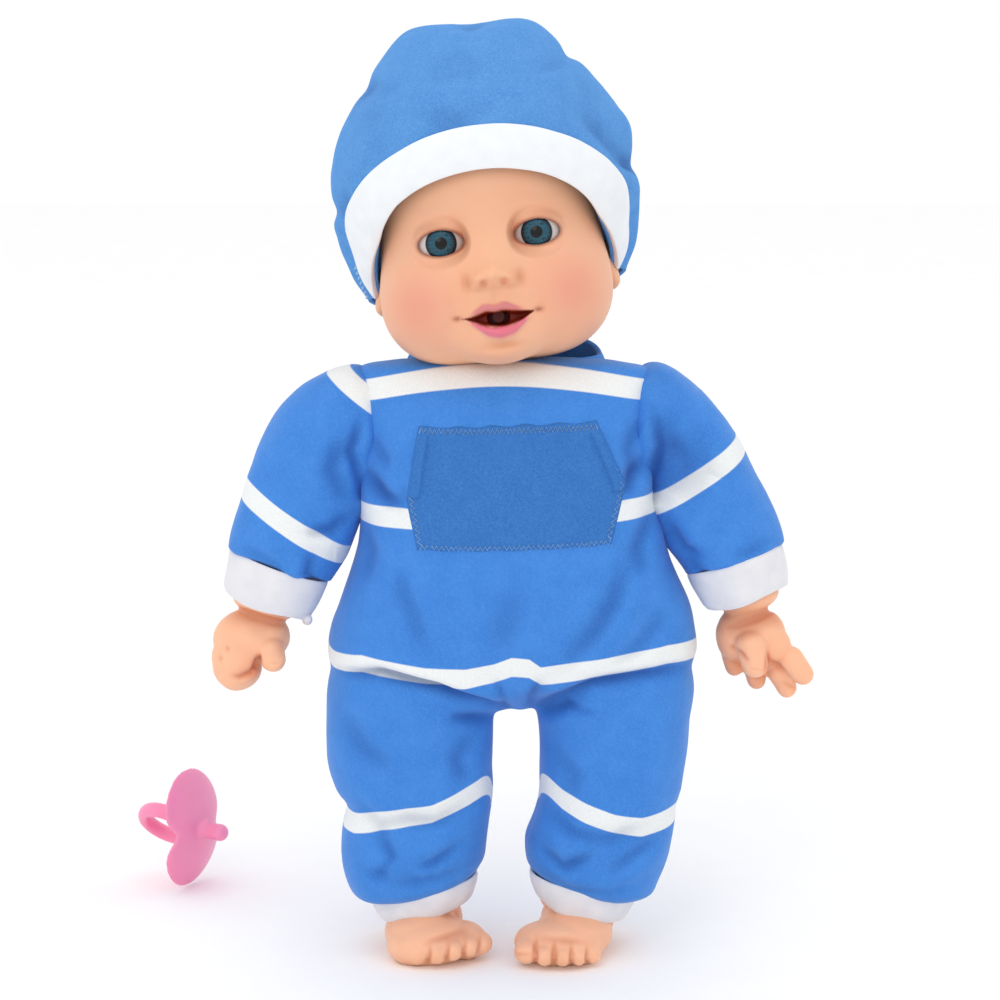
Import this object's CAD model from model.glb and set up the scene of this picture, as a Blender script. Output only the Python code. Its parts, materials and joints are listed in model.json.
import json
import math

import bpy
import numpy as np
from mathutils import Euler, Matrix, Vector, noise


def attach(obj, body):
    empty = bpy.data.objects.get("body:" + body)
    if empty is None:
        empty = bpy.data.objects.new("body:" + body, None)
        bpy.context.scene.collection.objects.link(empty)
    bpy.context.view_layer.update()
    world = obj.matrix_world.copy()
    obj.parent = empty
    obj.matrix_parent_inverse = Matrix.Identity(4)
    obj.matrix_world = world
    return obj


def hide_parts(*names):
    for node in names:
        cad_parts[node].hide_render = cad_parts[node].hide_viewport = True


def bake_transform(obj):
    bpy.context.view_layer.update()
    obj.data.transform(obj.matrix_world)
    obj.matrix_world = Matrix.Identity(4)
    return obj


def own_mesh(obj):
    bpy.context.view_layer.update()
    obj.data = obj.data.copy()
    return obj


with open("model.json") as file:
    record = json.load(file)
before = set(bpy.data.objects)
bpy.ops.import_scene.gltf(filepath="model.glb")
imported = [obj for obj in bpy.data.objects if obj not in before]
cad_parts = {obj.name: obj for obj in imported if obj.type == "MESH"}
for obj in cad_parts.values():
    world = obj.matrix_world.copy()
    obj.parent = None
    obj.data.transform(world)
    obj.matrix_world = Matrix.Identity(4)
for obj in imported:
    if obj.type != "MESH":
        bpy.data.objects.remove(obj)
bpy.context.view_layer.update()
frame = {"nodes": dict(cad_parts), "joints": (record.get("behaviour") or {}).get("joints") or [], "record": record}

# Interactive baby doll: vinyl head, hands and feet on a stuffed body, striped knit romper,
# fleece hat and a loose pacifier. Sizes below are in millimetres; mm turns them into metres.
mm = 0.001
scene = bpy.context.scene
joints = {joint["name"]: joint for joint in frame["joints"]}


def linear(hexColour):  # sRGB hex to linear RGBA
    parts = [int(hexColour[i:i + 2], 16) / 255 for i in (1, 3, 5)]
    return [p / 12.92 if p <= 0.04045 else ((p + 0.055) / 1.055) ** 2.4 for p in parts] + [1.0]


def deselect():
    bpy.ops.object.select_all(action="DESELECT")


def activate(piece):
    deselect()
    piece.select_set(True)
    bpy.context.view_layer.objects.active = piece


def named(name):
    piece = bpy.context.object
    piece.name = name
    piece.data.name = name
    return piece


def newSphere(name, segments, rings):  # unit ball, shaped afterwards
    deselect()
    bpy.ops.mesh.primitive_uv_sphere_add(segments=segments, ring_count=rings, radius=1.0)
    return named(name)


def getPoints(piece):
    co = np.zeros(len(piece.data.vertices) * 3)
    piece.data.vertices.foreach_get("co", co)
    return co.reshape(-1, 3) / mm


def getNormals(piece):
    piece.data.update()
    flat = np.zeros(len(piece.data.vertices) * 3)
    piece.data.vertices.foreach_get("normal", flat)
    return flat.reshape(-1, 3)


def setPoints(piece, co):
    piece.data.vertices.foreach_set("co", (co * mm).ravel())
    piece.data.update()


def setFloat(piece, name, values):
    layer = piece.data.attributes.get(name) or piece.data.attributes.new(name, "FLOAT", "POINT")
    layer.data.foreach_set("value", np.asarray(values, dtype=np.float32))


def setColour(piece, name, rgb):
    layer = piece.data.color_attributes.get(name)
    layer = layer or piece.data.color_attributes.new(name, "FLOAT_COLOR", "POINT")
    rgba = np.ones((len(rgb), 4), dtype=np.float32)
    rgba[:, :3] = rgb
    layer.data.foreach_set("color", rgba.ravel())


def useModifier(piece, kind, **settings):
    activate(piece)
    modifier = piece.modifiers.new(kind.lower(), kind)
    for key, value in settings.items():
        setattr(modifier, key, value)
    bpy.ops.object.modifier_apply(modifier=modifier.name)


def smooth(piece):
    activate(piece)
    bpy.ops.object.shade_smooth()


def joinPieces(parts, name):
    activate(parts[0])
    for part in parts:
        part.select_set(True)
    bpy.ops.object.join()
    return named(name)


def skinOver(piece, voxel, passes, factor=0.5):  # one closed skin round joined forms
    useModifier(piece, "REMESH", mode="VOXEL", voxel_size=voxel * mm)
    useModifier(piece, "SMOOTH", factor=factor, iterations=passes)
    smooth(piece)


def recalcNormals(piece):
    activate(piece)
    bpy.ops.object.mode_set(mode="EDIT")
    bpy.ops.mesh.select_all(action="SELECT")
    bpy.ops.mesh.normals_make_consistent(inside=False)
    bpy.ops.object.mode_set(mode="OBJECT")


def throughPoints(rows, t):  # smooth curve through rows, t from 0 to 1 by length
    rows = np.array(rows, float)
    step = np.linalg.norm(np.diff(rows[:, :3], axis=0), axis=1)
    knots = np.concatenate([[0], np.cumsum(step)])
    where = np.clip(t, 0, 1) * knots[-1]
    slope = np.gradient(rows, knots, axis=0)
    k = np.clip(np.searchsorted(knots, where, side="right") - 1, 0, len(rows) - 2)
    h = (knots[k + 1] - knots[k])[:, None]
    u = ((where - knots[k])[:, None]) / h
    a = (1 + 2 * u) * (1 - u) ** 2 * rows[k] + u * (1 - u) ** 2 * h * slope[k]
    return a + u * u * (3 - 2 * u) * rows[k + 1] + u * u * (u - 1) * h * slope[k + 1], knots[-1]


# stations are rows of centre x, y, z, half width, half depth
def shapeAlong(name, stations, segments=48, rings=32, caps=(3, 3), squareness=2.0, up=(0, 1, 0)):
    piece = newSphere(name, segments, rings)
    unit = getPoints(piece) * mm
    s = np.arccos(np.clip(-unit[:, 2], -1, 1)) / math.pi
    turn = np.arctan2(unit[:, 1], unit[:, 0])
    rows, length = throughPoints(stations, s)
    ahead, _ = throughPoints(stations, np.clip(s + 0.01, 0, 1))
    behind, _ = throughPoints(stations, np.clip(s - 0.01, 0, 1))
    along = ahead[:, :3] - behind[:, :3]
    along /= np.linalg.norm(along, axis=1)[:, None]
    depth = np.array(up, float)[None, :] - along * (along @ np.array(up, float))[:, None]
    depth /= np.linalg.norm(depth, axis=1)[:, None]
    width = np.cross(depth, along)
    shrink = np.ones(len(s))
    for cap, left in ((caps[0], s * length), (caps[1], (1 - s) * length)):
        shrink *= np.sqrt(np.clip(1 - (1 - np.clip(left / cap, 0, 1)) ** 2, 0, 1))
    c, d = np.cos(turn), np.sin(turn)
    roundness = (np.abs(c) ** squareness + np.abs(d) ** squareness) ** (-1 / squareness)
    co = rows[:, :3] + width * (c * roundness * rows[:, 3] * shrink)[:, None]
    co += depth * (d * roundness * rows[:, 4] * shrink)[:, None]
    setPoints(piece, co)
    recalcNormals(piece)
    smooth(piece)
    return piece


def egg(name, centre, radii, turn=(0, 0, 0), segments=32, rings=20):
    piece = newSphere(name, segments, rings)
    unit = getPoints(piece) * mm * np.array(radii)
    turned = np.array(Euler([math.radians(a) for a in turn]).to_matrix())
    setPoints(piece, unit @ turned.T + np.array(centre))
    return piece


def bump(co, centre, size, amount):  # soft Gaussian weight round a place
    d = (co - np.array(centre)) / np.array(size)
    return amount * np.exp(-(d * d).sum(1))


# groove along a route seen from the front (side -1) or back (1), with a ridge on its left
def fold(co, normals, route, width, depth, side=-1, ridge=0.0, axes=(0, 2)):
    route = np.array(route, float)
    flat = co[:, list(axes)]
    best = np.full(len(co), 1e9)
    signed = np.zeros(len(co))
    along = np.zeros(len(co))
    steps = np.linalg.norm(np.diff(route, axis=0), axis=1)
    total = steps.sum()
    done = 0.0
    for a, b, step in zip(route[:-1], route[1:], steps):
        line = (b - a) / step
        u = np.clip((flat - a) @ line, 0, step)
        off = flat - a - u[:, None] * line
        d = np.linalg.norm(off, axis=1)
        nearer = d < best
        best[nearer] = d[nearer]
        signed[nearer] = (off @ np.array([-line[1], line[0]]))[nearer]
        along[nearer] = ((done + u) / total)[nearer]
        done += step
    facing = 1.0 if side == 0 else np.clip(normals[:, 1] * side * 1.6 + 0.15, 0, 1)
    taper = np.clip(np.sin(np.clip(along, 0.02, 0.98) * math.pi), 0, 1) ** 0.6
    move = -depth * np.exp(-(best / width) ** 2)
    move += ridge * np.exp(-((signed - 1.7 * width) / (1.3 * width)) ** 2) * (best < 5 * width)
    return move * taper * facing


def ripple(co, size, amount, seed):  # slow uneven swell, the same each run
    shift = Vector((seed * 13.7, seed * 5.1, -seed * 9.3))
    return np.array([noise.noise(Vector(p) / size + shift) for p in co]) * amount


def addNode(tree, kind, settings=None, links=None):  # links: input name or number -> output socket
    node = tree.nodes.new("ShaderNode" + kind)
    for key, value in (settings or {}).items():
        if isinstance(key, int) or key in node.inputs:
            node.inputs[key].default_value = value
        else:
            setattr(node, key, value)
    for key, socket in (links or {}).items():
        tree.links.new(socket, node.inputs[key])
    return node


def startMaterial(name):
    material = bpy.data.materials.new(name)
    material.use_nodes = True
    tree = material.node_tree
    shader = tree.nodes["Principled BSDF"]
    place = addNode(tree, "TexCoord").outputs["Object"]
    return material, tree, shader, place


def mixColour(tree, factor, first, second):  # sockets or hex colours
    node = addNode(tree, "Mix", {"data_type": "RGBA"})
    for index, value in ((0, factor), (6, first), (7, second)):
        if isinstance(value, str):
            node.inputs[index].default_value = linear(value)
        elif isinstance(value, (int, float)):
            node.inputs[index].default_value = value
        else:
            tree.links.new(value, node.inputs[index])
    return node.outputs[2]


def wear(piece, material):
    piece.data.materials.clear()
    piece.data.materials.append(material)
    return piece


print("helpers ready")

camera = {"away": 1.0, "elevation": 11.0, "aimZ": 0.165, "lens": 102.3, "shiftX": -0.006, "shiftY": -0.0028}
rise = math.radians(camera["elevation"])
cameraData = bpy.data.cameras.new("camera")
cameraData.lens = camera["lens"]
cameraData.shift_x = camera["shiftX"]
cameraData.shift_y = camera["shiftY"]
cameraPiece = bpy.data.objects.new("camera", cameraData)
scene.collection.objects.link(cameraPiece)
cameraPiece.location = (0, -camera["away"] * math.cos(rise),
                        camera["aimZ"] + camera["away"] * math.sin(rise))
cameraPiece.rotation_euler = (math.pi / 2 - rise, 0, 0)
scene.camera = cameraPiece

def knitBumps(tree, place, spacing, slant):  # spacing of the ribs in mm
    turned = addNode(tree, "Mapping", {"Rotation": (0, math.radians(slant), 0)}, {0: place})
    ribs = addNode(tree, "TexWave", {"Scale": 0.314 / (spacing * mm), "Distortion": 0.6,
                                     "Detail": 1.0, "Detail Scale": 2.0}, {0: turned.outputs[0]})
    return ribs.outputs["Fac"]


def inCreases(tree, colour):  # cloth reads darker down in its folds
    crease = addNode(tree, "Attribute", {"attribute_name": "crease"})
    shaded = addNode(tree, "Mix", {"data_type": "RGBA", "blend_type": "MULTIPLY", 7: linear("#7688ad")},
                     {0: crease.outputs["Fac"], 6: colour})
    return shaded.outputs[2]


def romperKnit(name="brushedPolyesterKnit"):  # fine interlock jersey, slightly shiny, printed stripes
    material, tree, shader, place = startMaterial(name)
    cloud = addNode(tree, "TexNoise", {"Scale": 1 / (9 * mm), "Detail": 3.0}, {0: place})
    lint = addNode(tree, "TexNoise", {"Scale": 1 / (0.8 * mm), "Detail": 2.0}, {0: place})
    blue = mixColour(tree, cloud.outputs["Fac"], "#2f76cb", "#4389dc")
    speck = addNode(tree, "MapRange", {"From Min": 0.4, "From Max": 0.75}, {0: lint.outputs["Fac"]})
    blue = mixColour(tree, addNode(tree, "Math", {"operation": "MULTIPLY", 1: 0.3},
                                   {0: speck.outputs[0]}).outputs[0], blue, "#5d9de6")
    white = mixColour(tree, lint.outputs["Fac"], "#dfe3e4", "#f2f3f2")
    stripe = addNode(tree, "Attribute", {"attribute_name": "stripe"})
    edge = addNode(tree, "MapRange", {"From Min": -0.22, "From Max": 0.22, "To Min": 1.0, "To Max": 0.0},
                   {0: stripe.outputs["Fac"]})
    tree.links.new(inCreases(tree, mixColour(tree, edge.outputs[0], blue, white)),
                   shader.inputs["Base Color"])
    ribs = knitBumps(tree, place, 1.0, 38)  # real ribs are 0.6 mm apart, drawn at 1 mm so that they show
    height = addNode(tree, "Math", {"operation": "MULTIPLY_ADD", 1: 0.7}, {0: ribs, 2: lint.outputs["Fac"]})
    bumps = addNode(tree, "Bump", {"Strength": 0.35, "Distance": 0.12 * mm}, {"Height": height.outputs[0]})
    tree.links.new(bumps.outputs[0], shader.inputs["Normal"])
    shader.inputs["Roughness"].default_value = 0.72
    shader.inputs["Sheen Weight"].default_value = 0.25
    shader.inputs["Sheen Roughness"].default_value = 0.45
    shader.inputs["Sheen Tint"].default_value = linear("#cfe2ff")
    shader.inputs["Specular IOR Level"].default_value = 0.25
    return material


def fleece(name, dark, light, pile):  # brushed polyester fleece: short cut pile, no gloss
    material, tree, shader, place = startMaterial(name)
    patches = addNode(tree, "TexNoise", {"Scale": 1 / (7 * mm), "Detail": 4.0}, {0: place})
    tufts = addNode(tree, "TexNoise", {"Scale": 1 / (pile * mm), "Detail": 3.0, "Roughness": 0.65},
                    {0: place})
    contrast = addNode(tree, "MapRange", {"From Min": 0.3, "From Max": 0.72}, {0: tufts.outputs["Fac"]})
    both = addNode(tree, "Math", {"operation": "MULTIPLY_ADD", 1: 0.35},
                   {0: patches.outputs["Fac"], 2: addNode(tree, "Math", {"operation": "MULTIPLY", 1: 0.6},
                                                          {0: contrast.outputs[0]}).outputs[0]})
    tree.links.new(inCreases(tree, mixColour(tree, both.outputs[0], dark, light)),
                   shader.inputs["Base Color"])
    bumps = addNode(tree, "Bump", {"Strength": 0.6, "Distance": 0.35 * mm}, {"Height": tufts.outputs["Fac"]})
    tree.links.new(bumps.outputs[0], shader.inputs["Normal"])
    shader.inputs["Roughness"].default_value = 0.9
    shader.inputs["Sheen Weight"].default_value = 0.55
    shader.inputs["Sheen Roughness"].default_value = 0.5
    shader.inputs["Sheen Tint"].default_value = linear(light)
    shader.inputs["Specular IOR Level"].default_value = 0.15
    return material


def cuffJersey(name, warm, cool):  # doubled white cotton jersey, faint wales
    material, tree, shader, place = startMaterial(name)
    cloud = addNode(tree, "TexNoise", {"Scale": 1 / (6 * mm), "Detail": 3.0}, {0: place})
    loops = addNode(tree, "TexNoise", {"Scale": 1 / (0.7 * mm), "Detail": 2.0}, {0: place})
    tree.links.new(mixColour(tree, cloud.outputs["Fac"], cool, warm), shader.inputs["Base Color"])
    ribs = knitBumps(tree, place, 1.1, 0)
    height = addNode(tree, "Math", {"operation": "MULTIPLY_ADD", 1: 0.5}, {0: ribs, 2: loops.outputs["Fac"]})
    bumps = addNode(tree, "Bump", {"Strength": 0.3, "Distance": 0.12 * mm}, {"Height": height.outputs[0]})
    tree.links.new(bumps.outputs[0], shader.inputs["Normal"])
    shader.inputs["Roughness"].default_value = 0.85
    shader.inputs["Sheen Weight"].default_value = 0.2
    shader.inputs["Specular IOR Level"].default_value = 0.2
    return material


def softVinyl(name):  # rotocast PVC: satin, a little light bleeds through, sprayed blush
    material, tree, shader, place = startMaterial(name)
    tint = addNode(tree, "Attribute", {"attribute_name": "tint"})
    cloud = addNode(tree, "TexNoise", {"Scale": 1 / (14 * mm), "Detail": 2.0}, {0: place})
    shade = addNode(tree, "MapRange", {"From Min": 0.3, "From Max": 0.7, "To Min": 0.0, "To Max": 0.22},
                    {0: cloud.outputs["Fac"]})
    warm = addNode(tree, "Mix", {"data_type": "RGBA", "blend_type": "MULTIPLY", 7: linear("#ffe2d2")},
                   {0: shade.outputs[0], 6: tint.outputs["Color"]})
    tree.links.new(warm.outputs[2], shader.inputs["Base Color"])
    pores = addNode(tree, "TexNoise", {"Scale": 1 / (0.9 * mm), "Detail": 2.0}, {0: place})
    bumps = addNode(tree, "Bump", {"Strength": 0.1, "Distance": 0.08 * mm}, {"Height": pores.outputs["Fac"]})
    tree.links.new(bumps.outputs[0], shader.inputs["Normal"])
    gloss = addNode(tree, "Attribute", {"attribute_name": "gloss"})
    rough = addNode(tree, "MapRange", {"To Min": 0.47, "To Max": 0.16}, {0: gloss.outputs["Fac"]})
    tree.links.new(rough.outputs[0], shader.inputs["Roughness"])
    shader.inputs["Subsurface Weight"].default_value = 0.22
    shader.inputs["Subsurface Radius"].default_value = (1.0, 0.42, 0.25)
    shader.inputs["Subsurface Scale"].default_value = 3.0 * mm
    shader.inputs["IOR"].default_value = 1.5
    shader.inputs["Specular IOR Level"].default_value = 0.42
    return material


def dollEye(name):  # printed iris under clear acrylic
    material, tree, shader, place = startMaterial(name)
    out = addNode(tree, "Attribute", {"attribute_name": "fromPupil"})  # mm from the eye's axis
    around = addNode(tree, "Attribute", {"attribute_name": "spoke"})
    spokes = addNode(tree, "CombineXYZ", {}, {0: around.outputs["Fac"]})
    spread = addNode(tree, "Math", {"operation": "MULTIPLY", 1: 0.25}, {0: out.outputs["Fac"]})
    tree.links.new(spread.outputs[0], spokes.inputs[1])
    streaks = addNode(tree, "TexNoise", {"Scale": 3.0, "Detail": 3.0, "Roughness": 0.7},
                      {0: spokes.outputs[0]})
    ramp = addNode(tree, "ValToRGB", {}, {0: streaks.outputs["Fac"]})
    ramp.color_ramp.elements[0].position = 0.36
    ramp.color_ramp.elements[0].color = linear("#10242e")
    ramp.color_ramp.elements[1].position = 0.68
    ramp.color_ramp.elements[1].color = linear("#2b6f88")
    inner = addNode(tree, "MapRange", {"From Min": 2.7, "From Max": 1.9}, {0: out.outputs["Fac"]})
    iris = mixColour(tree, inner.outputs[0], ramp.outputs[0], "#2a4c58")
    rim = addNode(tree, "MapRange", {"From Min": 3.7, "From Max": 4.8}, {0: out.outputs["Fac"]})
    iris = mixColour(tree, rim.outputs[0], iris, "#0f1d26")
    pupil = addNode(tree, "MapRange", {"From Min": 2.15, "From Max": 1.95}, {0: out.outputs["Fac"]})
    iris = mixColour(tree, pupil.outputs[0], iris, "#05080a")
    cloud = addNode(tree, "TexNoise", {"Scale": 1 / (4 * mm)}, {0: place})
    white = mixColour(tree, cloud.outputs["Fac"], "#b5acaa", "#cdc5c2")
    outside = addNode(tree, "MapRange", {"From Min": 5.2, "From Max": 5.45}, {0: out.outputs["Fac"]})
    tree.links.new(mixColour(tree, outside.outputs[0], iris, white), shader.inputs["Base Color"])
    shader.inputs["Roughness"].default_value = 0.35
    shader.inputs["Specular IOR Level"].default_value = 0.1
    shader.inputs["Coat Weight"].default_value = 0.4
    shader.inputs["Coat Roughness"].default_value = 0.04
    return material


def mouldedPlastic(name, colour, roughness, grain=0.6, glow=0.0, metallic=0.0, coat=0.0):
    material, tree, shader, place = startMaterial(name)
    cloud = addNode(tree, "TexNoise", {"Scale": 1 / (grain * 12 * mm), "Detail": 2.0}, {0: place})
    fine = addNode(tree, "TexNoise", {"Scale": 1 / (grain * mm), "Detail": 2.0}, {0: place})
    deep = addNode(tree, "MapRange", {"To Min": 0.0, "To Max": 0.16}, {0: cloud.outputs["Fac"]})
    darker = "#" + "".join(f"{int(int(colour[i:i + 2], 16) * 0.82):02x}" for i in (1, 3, 5))
    tree.links.new(mixColour(tree, deep.outputs[0], colour, darker), shader.inputs["Base Color"])
    rough = addNode(tree, "MapRange", {"To Min": roughness - 0.04, "To Max": roughness + 0.06},
                    {0: fine.outputs["Fac"]})
    tree.links.new(rough.outputs[0], shader.inputs["Roughness"])
    bumps = addNode(tree, "Bump", {"Strength": 0.12, "Distance": 0.05 * mm}, {"Height": fine.outputs["Fac"]})
    tree.links.new(bumps.outputs[0], shader.inputs["Normal"])
    shader.inputs["Metallic"].default_value = metallic
    shader.inputs["Subsurface Weight"].default_value = glow
    shader.inputs["Subsurface Scale"].default_value = 2.5 * mm
    shader.inputs["Coat Weight"].default_value = coat
    return material


knit = romperKnit()
hatFleece = fleece("hatFleece", "#3f7fc6", "#6ba3de", 0.7)
pocketFleece = fleece("pocketFleece", "#2a63ad", "#4884cb", 0.75)
cuffWhite = cuffJersey("whiteCottonJersey", "#e9e8ea", "#d6d6de")
bandWhite = cuffJersey("hatBandJersey", "#f1f3f5", "#e2e7ec")
vinyl = softVinyl("satinVinyl")
eyeMaterial = dollEye("acrylicEye")
pacifierPlastic = mouldedPlastic("pinkPolypropylene", "#f590b8", 0.3, 0.8, 0.25)
thread = mouldedPlastic("polyesterThread", "#8fb4dc", 0.7, 0.3)
print("materials ready")

insideFinishes = {  # hidden parts keep their CAD shape; slot -> moulded, pressed or woven finish
    "box_plastic": mouldedPlastic("whiteAbs", "#dcdad4", 0.45),
    "tape": mouldedPlastic("nylonHookTape", "#e6e6ea", 0.85, 0.4),
    "nylon": mouldedPlastic("naturalNylon", "#e4dfd2", 0.5),
    "steel": mouldedPlastic("zincPlatedSteel", "#b4b6ba", 0.32, 0.5, 0.0, 1.0),
    "board": mouldedPlastic("greenSolderMask", "#1f6b3c", 0.35, 0.7),
    "chip": mouldedPlastic("epoxyBlob", "#17181a", 0.3, 0.5),
    "cone": mouldedPlastic("speakerPaper", "#3a3734", 0.8, 0.4),
    "lead": mouldedPlastic("pvcLead", "#b8302c", 0.4, 0.4),
    "switch": mouldedPlastic("blackAcetal", "#222326", 0.4, 0.5),
    "vinyl_skin": mouldedPlastic("darkRedVinyl", "#5a120b", 0.6, 0.7, 0.1),
    "stuffing": mouldedPlastic("polyesterWadding", "#f2f0ea", 0.95, 0.9),
}
slotOf = {part["node"]: part["material_slot"] for part in frame["record"]["subparts"]}
for node, piece in frame["nodes"].items():
    inMouth = node.startswith("mouth_")
    wear(piece, insideFinishes.get("vinyl_skin" if inMouth else slotOf.get(node),
                                   insideFinishes["box_plastic"]))


def flexDome(node, joint):  # a silicone dome that flattens as its button comes in
    source = frame["nodes"][node]
    piece = bpy.data.objects.new(node + "Silicone", source.data.copy())
    scene.collection.objects.link(piece)
    piece.matrix_world = source.matrix_world.copy()
    activate(piece)
    bpy.ops.object.transform_apply(location=True, rotation=True, scale=True)
    axis = np.array(joints[joint]["axis"], float)
    axis /= np.linalg.norm(axis)
    co = getPoints(piece) * mm
    wear(piece, siliconeFinish)
    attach(piece, "head" if node.startswith("mouth") else "torso")
    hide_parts(node)
    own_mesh(piece)


siliconeFinish = mouldedPlastic("siliconeDome", "#c9ccd0", 0.5, 0.5, 0.2)
flexDome("mouth_switch_spring", "mouth_plunger_press")
flexDome("tummy_button_spring", "tummy_button_press")
print("inside parts finished")

# the head's own axes: face towards -Y, z up, tipped back and leaning to the doll's right
headSettings = {
    "pitch": 8.0, "roll": 7.0, "segments": 320, "rings": 190, "centre": (0, 0, 36),
    "forms": [((0, 6, 62), (42, 46, 44)), ((0, -4, 32), (39.5, 41, 32)), ((-18, -14, 22), (21.5, 26, 20)),
              ((18, -14, 22), (21.5, 26, 20)), ((0, -30, 10), (14, 12, 10))],
    "mergeWidth": 7.0, "skin": "#ecb491", "blush": "#df9080", "upperLip": "#d07a80", "lowerLip": "#dc6f86",
    "mouth": "#8c2412", "lid": "#8a4a34",
}
eyeSettings = {"centres": ((-16.4, 42.7), (16.4, 42.7)), "y": -28.5, "radius": 9.5,
               "halfWidth": 7.8, "top": 4.6, "bottom": 4.4, "lid": 0.9}
neckPivot = np.array(joints["head_turn"]["pos_m"]) / mm
pitch = math.radians(headSettings["pitch"])
roll = math.radians(headSettings["roll"])
pitchTurn = np.array([[1, 0, 0], [0, math.cos(pitch), math.sin(pitch)],
                      [0, -math.sin(pitch), math.cos(pitch)]])
rollTurn = np.array([[math.cos(roll), 0, -math.sin(roll)], [0, 1, 0], [math.sin(roll), 0, math.cos(roll)]])
headTurn = rollTurn @ pitchTurn


def placeOnHead(piece):
    setPoints(piece, getPoints(piece) @ headTurn.T + neckPivot)


def eggDistance(p, centre, radii):
    q = p - np.array(centre)
    k0 = np.linalg.norm(q / np.array(radii), axis=1)
    k1 = np.linalg.norm(q / np.array(radii) ** 2, axis=1)
    return k0 * (k0 - 1) / np.maximum(k1, 1e-9)


def headDistance(p):
    total = None
    for centre, radii in headSettings["forms"]:
        d = eggDistance(p, centre, radii)
        if total is None:
            total = d
        else:
            h = np.clip(0.5 + 0.5 * (total - d) / headSettings["mergeWidth"], 0, 1)
            total = total * (1 - h) + d * h - headSettings["mergeWidth"] * h * (1 - h)
    return total


def softStep(x, low, high):
    t = np.clip((x - low) / (high - low), 0, 1)
    return t * t * (3 - 2 * t)


mouthHalf = 13.2  # half the mouth's width
mouthUpper = np.array([(-13.2, 16.9), (-9.2, 16.9), (-6.5, 17.6), (-4.0, 18.5), (-0.5, 17.9), (1.8, 18.4),
                       (4.5, 17.9), (8.0, 17.4), (13.2, 16.9)])
mouthLower = np.array([(-13.2, 16.7), (-8.6, 15.0), (-5.0, 13.2), (0.0, 12.3), (4.0, 12.5), (7.5, 13.6),
                       (10.6, 15.3), (13.2, 16.7)])
upperLipTop = np.array([(-12, 17.2), (-8.5, 18.6), (-4.2, 21.0), (-0.5, 20.0), (2.8, 21.1), (7.0, 18.9),
                        (12, 17.2)])
lowerLipBottom = np.array([(-11, 16.0), (-7.6, 12.8), (-4.0, 9.6), (0.4, 8.5), (5.0, 9.6), (8.4, 12.4),
                           (12, 16.0)])


def alongCurve(points, x):  # rounded height of a drawn line at x
    near = [np.interp(x + d, points[:, 0], points[:, 1]) for d in (-0.9, -0.45, 0, 0.45, 0.9)]
    return sum(near) / 5


def eyeOpening(x, z, centre):  # below zero inside the almond, about mm from its edge
    u = np.abs(x - centre[0]) / eyeSettings["halfWidth"]
    high = np.where(z > centre[1], eyeSettings["top"], eyeSettings["bottom"])
    v = np.abs(z - centre[1]) / high
    value = (u ** 1.75 + v ** 2.1) ** (1 / 1.9)
    gradient = np.sqrt((u / 7.0) ** 2 + (v / 4.4) ** 2) + 0.04
    return (value - 1) / gradient


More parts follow.
